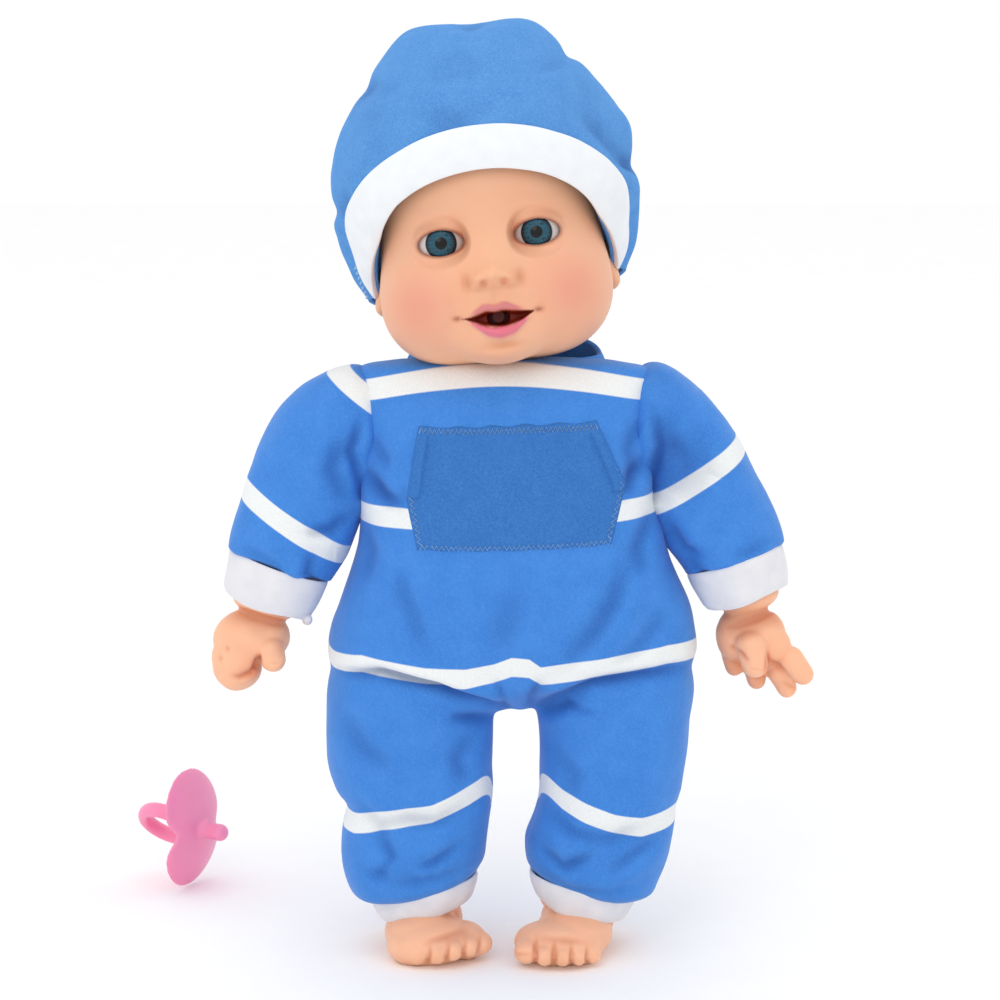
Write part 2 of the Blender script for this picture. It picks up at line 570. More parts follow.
def makeHead():
    piece = newSphere("head", headSettings["segments"], headSettings["rings"])
    unit = getPoints(piece) * mm
    polar = np.arccos(np.clip(unit[:, 2], -1, 1)) / math.pi
    polar = math.pi * (0.40 * polar + 0.60 * polar ** 3)  # rings crowd together over the face
    turn = np.arctan2(unit[:, 1], unit[:, 0])
    ray = np.stack([np.sin(polar) * np.cos(turn), -np.cos(polar), np.sin(polar) * np.sin(turn)], axis=1)
    low, high = np.full(len(ray), 5.0), np.full(len(ray), 110.0)
    centre = np.array(headSettings["centre"], float)
    for _ in range(24):
        middle = (low + high) / 2
        inside = headDistance(centre + ray * middle[:, None]) < 0
        low, high = np.where(inside, middle, low), np.where(inside, high, middle)
    co = centre + ray * low[:, None]
    front = softStep(-co[:, 1], 8, 22)
    x, z = co[:, 0].copy(), co[:, 2].copy()
    out = np.zeros(len(co))  # how far each point comes forward
    out += bump(co, (0, -40, 38), (5.5, 30, 7), 1.2)  # bridge
    out += bump(co, (0, -44, 30.0), (4.2, 40, 4.0), 7.8)  # tip
    for side in (-1, 1):
        out += bump(co, (side * 5.6, -44, 28.8), (2.3, 40, 2.6), 4.0)  # wings
        out += bump(co, (side * 9.2, -44, 28.2), (1.5, 40, 3.2), -1.3)  # crease beside the wing
        out += bump(co, (side * 14.5, -40, 19.5), (2.2, 40, 4.5), -0.55)  # fold by the mouth corner
        out += bump(co, (side * 14.1, -40, 16.9), (1.5, 40, 1.4), -0.9)
        out += bump(co, (side * 24, -34, 24), (9, 40, 9), 1.3)  # apple of the cheek
        out += bump(co, (side * 10.0, -38, 43), (3.4, 40, 6), -0.5)  # inner corner hollow
        out += bump(co, (side * 17, -38, 52.5), (9, 40, 2.6), 0.7)  # brow
    out += bump(co, (0, -44, 23.5), (1.5, 40, 2.4), -0.55)  # philtrum
    for side in (-1, 1):
        out += bump(co, (side * 3.0, -44, 23.2), (1.2, 40, 2.2), 0.25)
    out += bump(co, (0, -42, 16), (13, 40, 8), 1.6)  # muzzle
    out += bump(co, (0, -40, 6.6), (6.5, 40, 1.5), -1.2)  # dip under the lower lip
    out += bump(co, (0, -38, 2.8), (7, 40, 3.6), 0.9)  # chin button
    upper, lower = alongCurve(mouthUpper, x), alongCurve(mouthLower, x)
    lipTop, lipBottom = alongCurve(upperLipTop, x), alongCurve(lowerLipBottom, x)
    across = np.clip(1 - (np.abs(x) / mouthHalf) ** 2, 0, 1)
    middleUpper = (upper + lipTop) / 2
    middleLower = (lower + lipBottom) / 2
    out += 1.3 * across * np.exp(-((z - middleUpper) / np.maximum((lipTop - upper) * 0.62, 0.5)) ** 2)
    out += 2.6 * across * np.exp(-((z - middleLower) / np.maximum((lower - lipBottom) * 0.60, 0.6)) ** 2)
    gap = np.maximum(z - upper, lower - z)  # below zero inside the open mouth
    inMouth = (np.abs(x) < mouthHalf) & (front > 0.5)
    snap = inMouth & (np.abs(gap) < 0.24) & (np.abs(x) < 12.6)
    co[:, 2] = np.where(snap, np.where(z - upper > lower - z, upper, lower), co[:, 2])
    gap = np.where(snap, 0.0, gap)
    deep = softStep(-gap, 0.05, 1.5) * (front > 0.5) * (np.abs(x) < mouthHalf)
    co[:, 1] -= out * front
    co[:, 1] += deep * 6.0
    socket = softStep(3.9 - np.hypot(x, z - 16.0), 0, 0.5) * (front > 0.5)
    co[:, 1] += socket * deep * 5.0  # the round socket that takes a pacifier
    for side in (-1, 1):  # nostrils look down and forward
        hole = bump(co, (side * 3.3, -50, 27.3), (1.25, 60, 0.95), 1.0) * front
        co[:, 1] += hole * 1.5
        co[:, 2] += hole * 0.9
    lidDark = np.zeros(len(co))
    for centreX, centreZ in eyeSettings["centres"]:
        ex, ez = co[:, 0], co[:, 2]
        near = (np.hypot(ex - centreX, ez - centreZ) < 15) & (front > 0.3)
        edge = eyeOpening(ex, ez, (centreX, centreZ))
        snap = near & (np.abs(edge) < 0.3)
        lidHalf = eyeSettings["halfWidth"]
        gx = np.sign(ex - centreX) * (np.abs(ex - centreX) / lidHalf) / lidHalf
        gz = np.sign(ez - centreZ) * (np.abs(ez - centreZ) / 4.5) / 4.5
        size = np.maximum(np.hypot(gx, gz), 1e-6)
        co[:, 0] -= np.where(snap, edge * gx / size, 0)
        co[:, 2] -= np.where(snap, edge * gz / size, 0)
        ex, ez = co[:, 0], co[:, 2]
        edge = np.where(snap, 0.0, edge)
        reach2 = (ex - centreX) ** 2 + (ez - centreZ) ** 2
        ball = eyeSettings["radius"]
        lidY = eyeSettings["y"] - np.sqrt(np.maximum((ball + eyeSettings["lid"]) ** 2 - reach2, 1.0))
        behindY = eyeSettings["y"] - np.sqrt(np.maximum((ball - 1.1) ** 2 - reach2, 0.5))
        reach = np.sqrt(reach2)
        fade = 1 - softStep(reach, 8.2, 12.5)
        onLid = near * (1 - softStep(edge, 0.3, 2.7)) * (1 - softStep(reach, 8.2, 10.6))
        co[:, 1] = co[:, 1] * (1 - onLid) + lidY * onLid
        sink = near * (edge < -0.001)
        co[:, 1] = np.where(sink, np.minimum(-30.5, behindY), co[:, 1])
        co[:, 1] += near * fade * 0.3 * np.exp(-((edge - 2.3) / 0.7) ** 2) * softStep(ez - centreZ, 0.5, 3.0)
        lidDark += near * np.exp(-(np.maximum(edge, 0) / 0.5) ** 2)
    setPoints(piece, co)
    recalcNormals(piece)
    rgb = np.tile(np.array(linear(headSettings["skin"])[:3]), (len(co), 1))

    def paint(weight, colour):
        w = np.clip(weight, 0, 1)[:, None]
        return rgb * (1 - w) + np.array(linear(colour)[:3]) * w

    rgb = paint(bump(co, (0, -44, 70), (60, 90, 22), 0.5), "#e0ae8c")
    for side in (-1, 1):
        rgb = paint(bump(co, (side * 26, -34, 23), (11, 40, 11), 0.62), headSettings["blush"])
        rgb = paint(bump(co, (side * 17, -38, 49.5), (9, 30, 3.0), 0.22), "#c98268")
        rgb = paint(bump(co, (side * 9.5, -38, 45), (2.5, 30, 5), 0.25), "#cf8c70")
        rgb = paint(bump(co, (side * 3.3, -50, 26.8), (1.3, 60, 0.9), 0.45), "#b5602f")
        rgb = paint(bump(co, (side * 13.8, -42, 16.9), (1.4, 40, 0.8), 0.8), "#a55338")
    for side in (-1, 1):  # sprayed shade round the wings and under the tip
        rgb = paint(bump(co, (side * 8.8, -44, 28.4), (1.3, 40, 2.6), 0.4), "#c37c58")
        rgb = paint(bump(co, (side * 4.4, -44, 25.6), (3.4, 40, 0.9), 0.25), "#c07752")
    rgb = paint(bump(co, (0, -46, 31), (4.5, 30, 4), 0.4), "#f2bd96")
    rgb = paint(bump(co, (1, -40, 6.4), (6, 40, 1.3), 0.45), "#bd7546")
    onUpper = softStep(z - upper, -0.4, 0.1) * softStep(lipTop - z, -0.5,
                                                        0.7) * (np.abs(x) < 10.5) * (front > 0.5)
    rgb = paint(onUpper * softStep(10.5 - np.abs(x), 0, 4) * 0.9, headSettings["upperLip"])
    onLower = softStep(lower - z, -0.4, 0.1) * softStep(z - lipBottom, -0.7,
                                                        0.9) * (np.abs(x) < 11.5) * (front > 0.5)
    rgb = paint(onLower * softStep(11.5 - np.abs(x), 0, 3) * 0.95, headSettings["lowerLip"])
    rgb = paint(softStep(-gap, 0.0, 0.5) * inMouth, headSettings["mouth"])
    rgb = paint(lidDark * 0.8, headSettings["lid"])
    setColour(piece, "tint", rgb)
    setFloat(piece, "gloss", np.clip(onLower + 0.5 * onUpper, 0, 1))
    smooth(piece)
    return piece


def paintPlain(piece, colour, gloss=0.0):
    count = len(piece.data.vertices)
    setColour(piece, "tint", np.tile(np.array(linear(colour)[:3]), (count, 1)))
    setFloat(piece, "gloss", np.full(count, gloss))


def makeEar(side):  # rim, lobe and hollow, moulded with the head
    ear = egg("ear", (side * 39.0, 6, 30.5), (4.2, 7.0, 9.4), (0, side * -10, side * 16), 48, 32)
    co = getPoints(ear)
    co += np.outer(bump(co, (side * 42, 3, 31.5), (4, 3.6, 5), 2.6), (-side, 0, 0))
    co += np.outer(bump(co, (side * 40, 3.5, 24), (4, 4, 2.2), 1.0), (side * 0.6, -0.5, 0))
    setPoints(ear, co)
    smooth(ear)
    return ear


head = makeHead()
neck = shapeAlong("neck", [(0, 4, -12, 14, 14), (0, 3, 0, 14, 14), (0, 1, 10, 15, 15), (0, 0, 18, 16, 16)],
                  64, 24)
for part in (neck, makeEar(-1), makeEar(1)):
    paintPlain(part, headSettings["skin"])
    head = joinPieces([head, part], "headSkin")
placeOnHead(head)
wear(head, vinyl)
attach(head, "head")
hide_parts("head_shell", "mouth_cup")


def makeEye(name, centreX, nodes):
    eye = newSphere(name, 96, 64)
    unit = getPoints(eye) * mm
    co = np.stack([unit[:, 0], -unit[:, 2], unit[:, 1]], axis=1)  # the pole looks forward
    out = np.hypot(co[:, 0], co[:, 2]) * eyeSettings["radius"]
    spoke = np.arctan2(co[:, 2], co[:, 0])
    co = co * eyeSettings["radius"]
    co[:, 1] -= 0.9 * np.clip(1 - (out / 5.2) ** 2, 0, 1) * (co[:, 1] < 0)  # cornea
    gaze = Matrix.Rotation(math.radians(1.5 if centreX < 0 else -1.5), 3, "Z")
    co = co @ np.array(gaze).T + np.array([centreX, eyeSettings["y"], eyeSettings["centres"][0][1]])
    setPoints(eye, co)
    recalcNormals(eye)
    setFloat(eye, "fromPupil", out + 30 * (unit[:, 2] < 0))
    setFloat(eye, "spoke", np.abs(spoke) * 4)
    placeOnHead(eye)
    smooth(eye)
    wear(eye, eyeMaterial)
    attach(eye, "head")
    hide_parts(*nodes)


for side, (centreX, _) in zip(("right", "left"), eyeSettings["centres"]):
    makeEye(side + "Eye", centreX, [side + "_eyeball", side + "_iris", side + "_cornea"])
print("head and eyes made")

# hat: fleece crown over a white jersey band across the forehead
hatSettings = {
    "centre": (0, 7, 60), "radii": (53.5, 52.5, 59.5), "thick": 1.3, "segments": 224, "rings": 110,
    "rimFront": (-46.0, 68.4), "rimSide": (2.0, 29.0), "rimBack": (58.0, 17.0),
}


def rimHeight(y, lift=0.0):
    front, side, back = hatSettings["rimFront"], hatSettings["rimSide"], hatSettings["rimBack"]
    return np.interp(y, [front[0], (front[0] + side[0]) / 2, side[0], back[0]],
                     [front[1] + lift, (front[1] + side[1]) / 2 - 1.5 + lift * 1.1, side[1] + lift, back[1]])


def hatSurface(turn, rise, grow=0.0, lift=0.0):  # rise 0 at the rim, 1 at the crown
    cx, cy, cz = hatSettings["centre"]
    rx, ry, rz = (r + grow for r in hatSettings["radii"])
    z = np.full(len(turn), 45.0)
    for _ in range(30):
        wide = np.where(z > cz, np.sqrt(np.clip(1 - ((z - cz) / rz) ** 2, 0, 1)),
                        np.clip(1 - ((cz - z) / 62) ** 2, 0, 1) ** 0.32)
        z = 0.5 * z + 0.5 * rimHeight(cy - ry * np.cos(turn) * wide, lift)
    start = np.arcsin(np.clip((z - cz) / rz, -1, 1))
    angle = start + (math.pi / 2 - start) * rise
    high = cz + rz * np.sin(angle)
    wide = np.where(high > cz, np.cos(angle), np.clip(1 - ((cz - high) / 62) ** 2, 0, 1) ** 0.32)
    return np.stack([cx + rx * np.sin(turn) * wide, cy - ry * np.cos(turn) * wide, high], axis=1)


def domeGrid(name, segments, rings):  # a cylinder's side as a grid of rings, open at the bottom
    deselect()
    bpy.ops.mesh.primitive_grid_add(x_subdivisions=segments, y_subdivisions=rings, size=2.0)
    piece = named(name)
    unit = getPoints(piece) * mm
    return piece, (unit[:, 0] + 1) / 2, (unit[:, 1] + 1) / 2


def weld(piece, distance=0.004):
    activate(piece)
    bpy.ops.object.mode_set(mode="EDIT")
    bpy.ops.mesh.select_all(action="SELECT")
    bpy.ops.mesh.remove_doubles(threshold=distance * mm)
    bpy.ops.mesh.normals_make_consistent(inside=False)
    bpy.ops.object.mode_set(mode="OBJECT")


def area(piece):  # square metres
    return sum(face.area for face in piece.data.polygons)


crown, across, rise = domeGrid("hatCrown", hatSettings["segments"], hatSettings["rings"])
turn = (across * 2 - 1) * math.pi
co = hatSurface(turn, rise)
frontHalf = softStep(np.cos(turn), -0.15, 0.1)
under = softStep(0.10 - rise, 0.0, 0.10)
outward = co - np.array([0, 7, 48])
outward /= np.linalg.norm(outward, axis=1)[:, None]
swell = np.zeros(len(co))
lumps = [((-20, -6, 116), (13, 22, 8), 4.2), ((24, -6, 114), (15, 22, 8), 4.0),
         ((2, -14, 120), (5, 18, 6), -2.2),
         ((37, -8, 106), (4.5, 26, 4), -3.4), ((-37, -8, 101), (4.5, 26, 4.5), -2.2),
         ((53, -8, 78), (9, 16, 8), 2.4),
         ((53, -8, 64), (7, 18, 3.2), -3.6), ((53, -2, 48), (9, 16, 8), 2.6),
         ((-52, -8, 72), (9, 16, 9), 1.6),
         ((-54, -4, 60), (6, 18, 3), -1.6), ((-52, 0, 46), (9, 16, 8), 2.2), ((0, 58, 70), (26, 14, 9), 2.6),
         ((-22, 52, 50), (12, 14, 14), 1.8), ((24, 52, 46), (12, 14, 14), 2.0),
         ((4, 40, 104), (16, 14, 8), -2.0)]
for place, size, amount in lumps:
    swell += bump(co, place, size, amount)
normals = outward
swell += fold(co, normals, [(37, 108), (30, 100), (20, 95)], 3.0, 1.2, ridge=0.5)
swell += fold(co, normals, [(-38, 103), (-30, 99), (-22, 97)], 3.0, 0.9, ridge=0.4)
swell += fold(co, normals, [(52, 64), (45, 70), (36, 82)], 3.2, 2.0, ridge=0.9)
swell += fold(co, normals, [(50, 56), (46, 44)], 2.6, 1.2, ridge=0.5)
swell += fold(co, normals, [(-50, 74), (-47, 60), (-47, 44)], 3.0, 1.5, ridge=0.8)
swell += fold(co, normals, [(-43, 78), (-40, 64), (-43, 50)], 2.6, 0.9, ridge=0.4)
swell += fold(co, normals, [(-30, 90), (-6, 84), (22, 88)], 4.5, 0.9, ridge=0.3)
for route in ([(-30, 96), (-12, 70), (-20, 40)], [(30, 92), (14, 64), (22, 36)],
              [(2, 108), (-3, 84), (4, 60)]):
    swell += fold(co, normals, route, 3.4, 1.5, 1, 0.8)
swell += ripple(co, 16.0, 1.0, 3) + ripple(co, 7.0, 0.28, 4)
swell *= softStep(rise, 0.0, 0.16)
setFloat(crown, "crease", np.clip(-swell / 5.0, 0, 0.55))
co += outward * swell[:, None]
co[:, 0] *= 1 - 0.125 * softStep(64 - co[:, 2], 0, 22) * softStep(0.24 - rise, 0, 0.09) * frontHalf
co -= outward * (under * 1.8 * (1 - frontHalf * 0.4))[:, None]  # the edge draws in under the crown
setPoints(crown, co)
weld(crown)
crownArea = area(crown)
useModifier(crown, "SOLIDIFY", thickness=hatSettings["thick"] * mm, offset=-1.0)
placeOnHead(crown)
smooth(crown)
wear(crown, hatFleece)
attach(crown, "hat")
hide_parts("hat_crown")

band, across, rise = domeGrid("hatBand", 190, 18)  # doubled jersey, its lower edge a soft roll
reach = math.radians(97)
turn = (across * 2 - 1) * reach
lower = hatSurface(turn, np.zeros(len(turn)), -2.6)
upper = hatSurface(turn, np.full(len(turn), 0.135), -0.9)
lift = (rise * 1.12)[:, None]
co = lower * (1 - lift) + upper * lift
outward = co - np.array([0, 7, 52])
outward /= np.linalg.norm(outward, axis=1)[:, None]
belly = 1.9 * np.sin(np.clip(rise * 1.0, 0, 1) * math.pi) ** 0.8 + 0.4
pinch = softStep(np.abs(turn), reach * 0.86, reach)
co += outward * (belly * (1 - 0.4 * pinch) + ripple(co, 11.0, 0.35, 7))[:, None]
co[:, 2] += pinch * (0.35 - rise) * 7.0 - pinch * 1.0
co[:, 0] *= 1 - 0.095 * softStep(64 - co[:, 2], 0, 22)  # hugs the temples and ears
co += outward * (fold(co, outward, [(-30, 60), (-38, 46), (-42, 34)], 1.6, 0.5, ridge=0.3))[:, None]
setPoints(band, co)
weld(band)
bandArea = area(band)
useModifier(band, "SOLIDIFY", thickness=2.2 * mm, offset=0.0)
useModifier(band, "BEVEL", width=0.7 * mm, segments=3, limit_method="ANGLE")
placeOnHead(band)
smooth(band)
wear(band, bandWhite)
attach(band, "hat")
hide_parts("hat_band")

# a few blue overlock stitches where the band's end is sewn under the crown
stitches = []
for k in range(7):
    angle = -reach + 0.10 + 0.014 * k
    spot = hatSurface(np.array([angle]), np.array([0.012 + 0.014 * k]), 0.4)[0]
    spot[0] *= 0.935
    stitches.append(egg("stitch", spot, (0.45, 0.45, 0.8), (0, 30, 0), 12, 8))
bandStitches = joinPieces(stitches, "hatBandStitches")
placeOnHead(bandStitches)
smooth(bandStitches)
wear(bandStitches, thread)
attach(bandStitches, "hat")
print("hat made", round(crownArea, 4), round(bandArea, 5))

# romper: torso and both legs are one knitted suit, split at the hips so that the legs can swing
romperSettings = {
    "voxel": 1.25, "passes": 14,
    "torso": [(3.6, 0, 88, 34, 16), (2.8, 1, 98, 58.5, 28), (2.5, 1, 107, 65, 33.5), (2.3, 1, 118, 64.5, 36),
              (2, 1, 128, 61.5, 36.5), (1.5, 2, 145, 56, 37), (0.4, 2, 165, 52, 36), (0, 3, 185, 51.5, 33.5),
              (0, 4, 200, 52.5, 30), (0, 5, 208, 53, 25), (0, 6, 214.5, 50, 18.5)],
    "rightLeg": [(-32, 1, 112, 26, 24), (-33.2, 1, 98, 29.6, 27.5), (-33.9, 1, 84, 29.8, 27.5),
                 (-33.2, 0, 68, 28.7, 26), (-31.6, 0, 56, 26.8, 24.5), (-32.6, -1, 44, 26.0, 24),
                 (-33.8, -1, 32, 26.0, 23.5), (-32, -2, 24.5, 24.0, 21.5), (-31, -2, 20.5, 21.8, 20)],
    "leftLeg": [(38, 1, 112, 26, 24), (38.6, 1, 98, 28.4, 27.5), (38.6, 1, 84, 27.2, 27),
                (37.6, 0, 68, 26.2, 25.5), (36.8, 0, 56, 25.4, 24.5), (34.8, -1, 44, 25.4, 24),
                (31.8, -1, 32, 24.4, 23), (30, -2, 24.5, 22.8, 21.5), (29.2, -2, 21, 21.2, 20)],
    "stripe": 3.5,
}
torsoForm = shapeAlong("torsoForm", romperSettings["torso"], 96, 90, (9, 4.5), 2.35)
legForms = [shapeAlong("legForm", romperSettings[key], 72, 72, (6, 5.5), 2.15) for key in ("rightLeg",
                                                                                           "leftLeg")]
romper = joinPieces([torsoForm] + legForms, "romper")
skinOver(romper, romperSettings["voxel"], romperSettings["passes"])
co = getPoints(romper)
normals = getNormals(romper)
front = normals[:, 1] < 0
move = ripple(co, 26.0, 1.3, 11) + ripple(co, 12.0, 0.35, 12)
calm = 1 - softStep(np.abs(co[:, 2] - 218), 14, 2) * 0.6
move *= calm
romperFolds = [
    # hip folds under the belly and the creases that fan out from the crotch
    ([(-58, 106), (-44, 108), (-24, 104), (-8, 97), (2, 90)], 2.4, 2.9, -1, 1.7),
    ([(64, 108), (48, 107), (30, 104), (17, 98), (10, 90)], 2.6, 2.3, -1, 1.1),
    ([(-3, 106), (-1, 98), (1, 90)], 1.6, 1.5, -1, 0.5),
    ([(11, 107), (9, 98), (8, 90)], 1.7, 1.4, -1, -0.5),
    ([(-20, 92), (-11, 90), (-4, 87)], 2.2, 1.6, -1, 0.6),
    ([(32, 94), (21, 95), (12, 89)], 2.4, 2.0, -1, 0.9),
    ([(40, 96), (28, 99), (17, 93)], 1.8, 0.8, -1, 0.5),
    # belly: soft drags from the pocket's corners towards the crotch
    ([(43, 148), (37, 134), (29, 122), (20, 112)], 4.2, 1.2, -1, 0.6),
    ([(-38, 146), (-33, 132), (-28, 118)], 4.0, 0.9, -1, 0.5),
    ([(56, 130), (46, 118), (34, 112)], 4.0, 0.8, -1, 0.4),
    ([(4, 140), (0, 126), (-4, 116)], 6.0, 0.7, -1, 0.2),
    # armpit drags
    ([(-49, 178), (-43, 171), (-37, 167)], 3.0, 1.9, -1, 1.1),
    ([(-47, 190), (-42, 182), (-40, 172)], 3.4, 1.3, -1, 0.8),
    ([(-36, 183), (-35, 174), (-36, 166)], 2.4, 1.0, -1, 0.7),
    ([(49, 182), (44, 177), (41, 170)], 2.8, 1.8, -1, 1.0),
    ([(47, 196), (43, 186), (44, 176)], 3.2, 1.0, -1, 0.7),
    ([(51, 164), (47, 152), (49, 142)], 3.2, 1.2, -1, 0.7),
    ([(-50, 160), (-47, 150), (-50, 138)], 3.4, 1.0, -1, 0.6),
    # right leg: knee and the bunching over the ankle
    ([(-56, 92), (-50, 80), (-40, 74)], 4.5, 0.9, -1, 0.4),
    ([(-12, 84), (-17, 76), (-14, 66)], 3.4, 1.0, -1, 0.5),
    ([(-52, 58), (-44, 53), (-34, 55), (-24, 54), (-13, 60)], 3.0, 1.0, -1, 0.7),
    ([(-44, 50), (-40, 40), (-46, 32)], 2.8, 1.4, -1, 0.8),
    ([(-36, 36), (-26, 38), (-16, 44)], 2.6, 1.6, -1, 1.1),
    ([(-52, 36), (-38, 31), (-24, 32), (-12, 36)], 2.6, 0.8, -1, 0.6),
    # left leg
    ([(16, 80), (24, 70), (22, 60)], 4.0, 0.8, -1, 0.4),
    ([(14, 56), (24, 49), (36, 48), (48, 52)], 3.4, 1.2, -1, 0.8),
    ([(12, 42), (20, 36), (30, 42)], 2.6, 1.6, -1, 1.0),
    ([(54, 46), (44, 40), (36, 33)], 3.0, 1.0, -1, 0.7),
    ([(10, 34), (22, 28), (36, 27), (48, 31)], 2.4, 0.8, -1, 0.6),
    # back: seat, waist and knees
    ([(-56, 104), (-34, 96), (-6, 93), (3, 96)], 2.8, 2.4, 1, 1.4),
    ([(62, 104), (42, 96), (14, 93), (4, 96)], 2.8, 2.4, 1, 1.4),
    ([(-46, 168), (-28, 160), (-12, 166)], 3.6, 1.3, 1, 0.8),
    ([(46, 166), (30, 158), (14, 164)], 3.6, 1.3, 1, 0.8),
    ([(-52, 140), (-34, 132), (-14, 136)], 4.0, 1.2, 1, 0.7),
    ([(54, 142), (36, 133), (16, 138)], 4.0, 1.1, 1, 0.7),
    ([(-52, 62), (-36, 56), (-14, 62)], 3.0, 1.5, 1, 1.0),
    ([(14, 62), (32, 56), (54, 60)], 3.0, 1.5, 1, 1.0),
    ([(-50, 36), (-34, 31), (-14, 35)], 2.8, 1.2, 1, 0.8),
    ([(12, 36), (30, 30), (48, 34)], 2.8, 1.2, 1, 0.8),
]
creased = np.zeros(len(co))
for route, width, depth, side, ridge in romperFolds:
    creased += fold(co, normals, route, width, depth, side, ridge)
setFloat(romper, "crease", np.clip(-creased / 2.4, 0, 0.8))
move += creased * 1.35
# outer and inner leg seams and the back opening's overlapped edge
legSeam = (co[:, 2] < 92) * np.exp(-((co[:, 1] + 3.5) / 0.55) ** 2) * (np.abs(normals[:, 1]) < 0.6)
move -= 0.55 * legSeam
flap = (normals[:, 1] > 0.3) * softStep(co[:, 2], 126, 128) * softStep(co[:, 0], -8.6, -7.6)
move += 0.9 * flap * (1 - softStep(co[:, 0], 9, 12))
move += bump(co, (1, 37, 186), (15, 24, 12), 3.4) * (normals[:, 1] > 0.05)  # lies over the closure tapes
sideBump = bump(co, (-63, 0, 72), (10, 30, 13), 1.2) + bump(co, (-60, 0, 53), (6, 30, 3.5), -1.8)
move += sideBump + bump(co, (60, 0, 54), (6, 30, 5), -0.9) + bump(co, (10, -2, 40), (6, 26, 7), 1.4)
co += normals * move[:, None]
setPoints(romper, co)
useModifier(romper, "SMOOTH", factor=0.4, iterations=2)


def cutAcross(piece, place, normal):  # adds an edge loop where a plane meets the piece
    activate(piece)
    bpy.ops.object.mode_set(mode="EDIT")
    bpy.ops.mesh.select_all(action="SELECT")
    bpy.ops.mesh.bisect(plane_co=Vector(place) * mm, plane_no=normal)
    bpy.ops.object.mode_set(mode="OBJECT")


crotch = {"x": 4.4, "z": 87.5, "hipZ": 113.0, "rightHip": -64.0, "leftHip": 69.0}
hipCuts = {}
for name, hipX in (("right", crotch["rightHip"]), ("left", crotch["leftHip"])):
    run = np.array([hipX - crotch["x"], 0, crotch["hipZ"] - crotch["z"]])
    normal = np.array([-run[2], 0, run[0]]) / np.linalg.norm(run)
    normal *= -np.sign(normal[2])  # points down into the leg
    hipCuts[name] = normal
    cutAcross(romper, (crotch["x"], 0, crotch["z"]), tuple(normal))
cutAcross(romper, (crotch["x"], 0, crotch["z"]), (1, 0, 0))

co = getPoints(romper)
normals = getNormals(romper)
behind = softStep(co[:, 1], -16, 10)  # the prints wander between the front and back panels
x, y, z = co[:, 0], co[:, 1], co[:, 2]
chestLine = 211.4 - 7.2 * (x / 50) ** 2
hipLine = np.interp(x, [-66, -50, -40, -28, -14, -4, 2, 8, 12, 18, 30, 44, 56, 70],
                    [108.0, 110.4, 109.2, 107.8, 107.4, 109.4, 111.8, 111.4, 108.4, 109.2, 110.6, 112.2,
                     113.6, 112.8])
hipLine = hipLine * (1 - behind) + 111.0 * behind
rightLine = np.interp(x, [-64, -54, -44, -34, -26, -18, -6], [49.6, 50.2, 53.4, 55.4, 56.4, 59.6, 64.6])
leftLine = np.interp(x, [9, 14, 20, 28, 38, 48, 64], [69.5, 64.4, 60.2, 56.6, 53.0, 51.0, 52.2])
legLine = np.where(x < 4, rightLine * (1 - behind) + 50.0 * behind, leftLine * (1 - behind) + 53.0 * behind)
bands = [np.abs(z - chestLine), np.abs(z - 163.8 - 0.03 * x), np.abs(z - hipLine), np.abs(z - legLine)]
setFloat(romper, "stripe", np.min(bands, axis=0) - romperSettings["stripe"])
whole = romper.data.attributes.new("wholeNormal", "FLOAT_VECTOR", "POINT")
whole.data.foreach_set("vector", normals.ravel().astype(np.float32))


def splitOff(name, keep):  # keep(x, z) is true for the face centres that stay
    activate(romper)
    bpy.ops.object.duplicate()
    piece = named(name)
    for face in piece.data.polygons:
        face.select = not keep(face.center.x / mm, face.center.z / mm)
    bpy.ops.object.mode_set(mode="EDIT")
    bpy.ops.mesh.select_mode(type="FACE")
    bpy.ops.mesh.delete(type="FACE")
    bpy.ops.object.mode_set(mode="OBJECT")
    flat = np.zeros(len(piece.data.vertices) * 3)
    piece.data.attributes["wholeNormal"].data.foreach_get("vector", flat)
    piece.data.normals_split_custom_set_from_vertices(flat.reshape(-1, 3))
    wear(piece, knit)
    return piece


def belowCut(name, x, z):
    normal = hipCuts[name]
    return (x - crotch["x"]) * normal[0] + (z - crotch["z"]) * normal[2] > 0


def inLeg(name, x, z):
    return (x < crotch["x"]) == (name == "right") and belowCut(name, x, z)


for face in romper.data.polygons:
    face.select = False
torsoCloth = splitOff("romperTorso", lambda x, z: not (inLeg("right", x, z) or inLeg("left", x, z)))
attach(torsoCloth, "torso")
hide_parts("romper_torso", "torso_stuffing")
for name in ("right", "left"):
    legCloth = splitOff(name + "TrouserLeg", lambda x, z, name=name: inLeg(name, x, z))
    start = np.array([crotch["x"], 0, crotch["z"]])
    hipX = crotch["rightHip"] if name == "right" else crotch["leftHip"]
    start = (start + np.array([hipX, 0, crotch["hipZ"]])) / 2
    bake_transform(legCloth)
    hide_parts(name + "_trouser_leg", name + "_leg_stuffing")
bpy.data.objects.remove(romper)
print("romper made")

